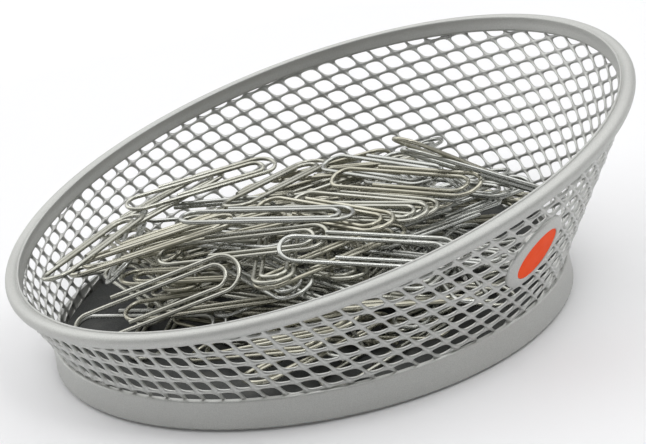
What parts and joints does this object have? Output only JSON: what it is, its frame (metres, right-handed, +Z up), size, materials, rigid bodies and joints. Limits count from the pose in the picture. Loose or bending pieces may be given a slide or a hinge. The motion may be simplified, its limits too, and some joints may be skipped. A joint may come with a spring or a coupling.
{
  "type": "magnetic paper clip holder",
  "caption": "Round flared dish of open metal mesh with a slanted rolled rim, a ring base and a magnetic floor, holding a loose pile of bent-wire paper clips.",
  "frame": {"origin": "middle of the base on the table plane", "axes": "+Z up, +Y towards the high side of the slanted rim, +X to the right when looking along +Y from the low side"},
  "size_m": [0.1046, 0.1049, 0.0345],
  "materials": {
    "silver_mesh": "satin silver paint over expanded steel mesh",
    "silver_band": "smooth satin silver paint over rolled steel",
    "plate_steel": "plain zinc-plated sheet",
    "magnet_black": "matt black flexible magnet sheet",
    "pad_black": "matt black foam rubber",
    "badge_silver": "satin silver paint",
    "inlay_orange": "gloss orange enamel",
    "clip_nickel": "bright nickel-plated wire",
    "clip_nickel_warm": "nickel-plated wire, slightly yellowed",
    "clip_nickel_cool": "nickel-plated wire, slightly blue"
  },
  "bodies": {
    "dish": {"badge_clamp": "plate_steel", "badge_inlay": "inlay_orange", "badge_plate": "badge_silver", "base_plate": "plate_steel", "base_ring": "silver_band", "foot_pad": "pad_black", "magnet_sheet": "magnet_black", "mesh_wall": "silver_mesh", "rim": "silver_band"},
    "clip_load": {"clip_bed_1": "clip_nickel", "clip_bed_2": "clip_nickel_warm", "clip_bed_3": "clip_nickel_cool", "clip_bed_4": "clip_nickel", "clip_bed_5": "clip_nickel_warm", "clip_bed_6": "clip_nickel_cool", "clip_01": "clip_nickel", "clip_02": "clip_nickel_cool", "clip_03": "clip_nickel_warm", "clip_04": "clip_nickel_warm", "clip_05": "clip_nickel", "clip_06": "clip_nickel_cool", "clip_07": "clip_nickel_cool", "clip_08": "clip_nickel_warm", "clip_09": "clip_nickel", "clip_10": "clip_nickel", "clip_11": "clip_nickel_cool", "clip_12": "clip_nickel_warm", "clip_13": "clip_nickel_warm", "clip_14": "clip_nickel", "clip_15": "clip_nickel_cool", "clip_16": "clip_nickel_cool", "clip_17": "clip_nickel_warm", "clip_18": "clip_nickel", "clip_19": "clip_nickel", "clip_20": "clip_nickel_cool", "clip_21": "clip_nickel_warm", "clip_22": "clip_nickel_warm", "clip_23": "clip_nickel", "clip_24": "clip_nickel_cool", "clip_25": "clip_nickel_cool", "clip_26": "clip_nickel_warm", "clip_27": "clip_nickel", "clip_28": "clip_nickel", "clip_29": "clip_nickel_cool", "clip_30": "clip_nickel_warm", "clip_31": "clip_nickel_warm", "clip_32": "clip_nickel", "clip_33": "clip_nickel_cool", "clip_34": "clip_nickel_cool", "clip_35": "clip_nickel_warm", "clip_36": "clip_nickel"},
    "loose_clip_37": {"clip_37": "clip_nickel"},
    "loose_clip_38": {"clip_38": "clip_nickel_warm"},
    "loose_clip_39": {"clip_39": "clip_nickel_cool"},
    "loose_clip_40": {"clip_40": "clip_nickel"}
  },
  "joints": [
    {"name": "load_lift", "type": "slide", "parent": "dish", "child": "clip_load", "axis": [0, 0, 1], "range_m": [0, 0.06]},
    {"name": "clip_37_lift", "type": "slide", "parent": "clip_load", "child": "loose_clip_37", "axis": [0, 0, 1], "range_m": [0, 0.05]},
    {"name": "clip_38_lift", "type": "slide", "parent": "clip_load", "child": "loose_clip_38", "axis": [0, 0, 1], "range_m": [0, 0.05]},
    {"name": "clip_39_lift", "type": "slide", "parent": "clip_load", "child": "loose_clip_39", "axis": [0, 0, 1], "range_m": [0, 0.05]},
    {"name": "clip_40_lift", "type": "slide", "parent": "clip_load", "child": "loose_clip_40", "axis": [0, 0, 1], "range_m": [0, 0.05]}
  ]
}
